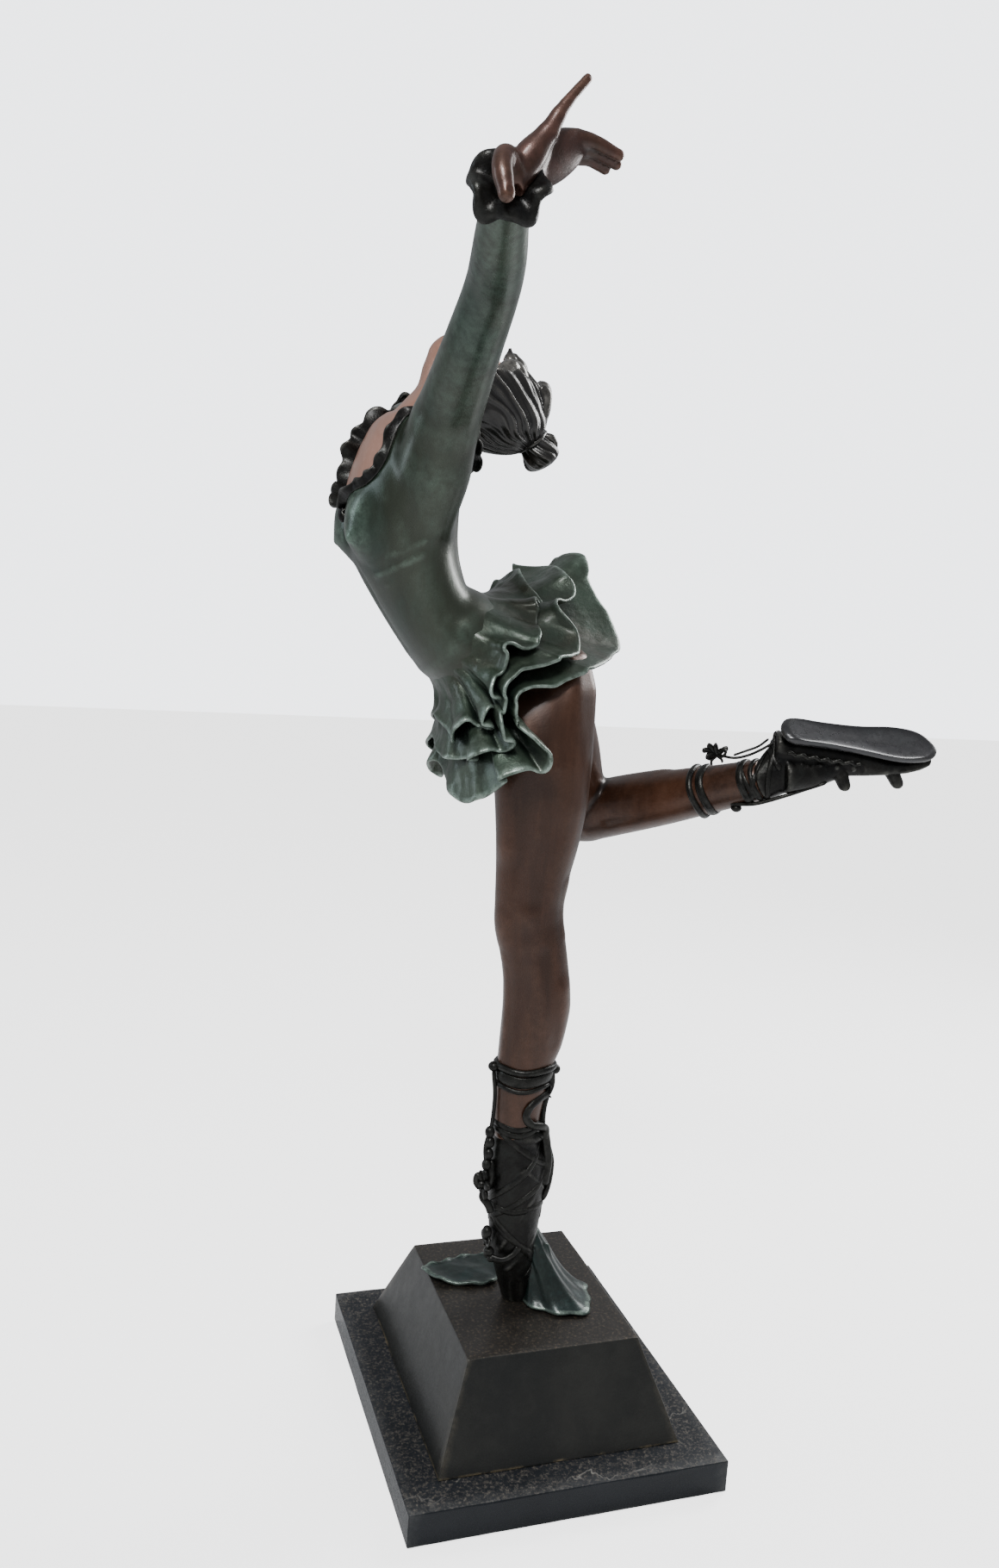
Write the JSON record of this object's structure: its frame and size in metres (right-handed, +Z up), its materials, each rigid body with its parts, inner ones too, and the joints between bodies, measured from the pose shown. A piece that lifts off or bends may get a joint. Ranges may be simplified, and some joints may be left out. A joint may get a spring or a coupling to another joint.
{
  "type": "dancer statue",
  "caption": "Near life-size bronze dancer arching back on one pointe, in a three-tier skirt, on a tapered bronze plinth and a black marble slab.",
  "frame": {"origin": "centre of the slab's underside, on the face that rests on the floor", "axes": "+Z up, +X towards the dancer's back, +Y towards the raised leg's side"},
  "size_m": [0.9617, 1.3489, 1.8752],
  "materials": {
    "felt": "pressed wool",
    "marble": "polished, worn edges",
    "plinth_bronze": "dark patina, satin",
    "fixing_steel": "zinc plated",
    "teal_patina": "teal patina, waxed",
    "brown_patina": "brown patina, waxed",
    "verdigris": "verdigris patina with worn rims",
    "green_patina": "green patina, waxed",
    "skin_patina": "light copper patina, waxed",
    "black_patina": "black patina, waxed"
  },
  "bodies": {
    "root": {"felt_baize": "felt", "marble_slab": "marble", "plinth_shell": "plinth_bronze", "plinth_bolts": "fixing_steel", "bolt_washers": "fixing_steel", "armature_rod": "fixing_steel", "armature_nut": "fixing_steel", "armature_washer": "fixing_steel", "scarf_flap": "teal_patina", "scarf_fold": "teal_patina", "standing_slipper": "black_patina", "standing_leg": "brown_patina", "standing_cuff": "black_patina", "standing_laces": "black_patina", "standing_knots": "black_patina", "standing_rosette": "black_patina", "hips": "brown_patina", "raised_thigh": "brown_patina", "raised_calf": "brown_patina", "raised_cuff": "black_patina", "raised_laces": "black_patina", "raised_cuff_bow": "black_patina", "raised_shoe_upper": "black_patina", "raised_shoe_sole": "black_patina", "raised_shoe_knots": "black_patina", "skirt_top_tier": "verdigris", "skirt_middle_tier": "verdigris", "skirt_bottom_tier": "verdigris", "bodice": "green_patina", "neck": "skin_patina", "collar_ruffle": "black_patina", "collar_bow": "black_patina", "head": "skin_patina", "hair_cap": "black_patina", "hair_bun": "black_patina", "left_sleeve": "green_patina", "left_wrist_ruffle": "black_patina", "left_hand": "brown_patina", "right_sleeve": "green_patina", "right_wrist_ruffle": "black_patina", "right_hand": "brown_patina"}
  },
  "joints": []
}
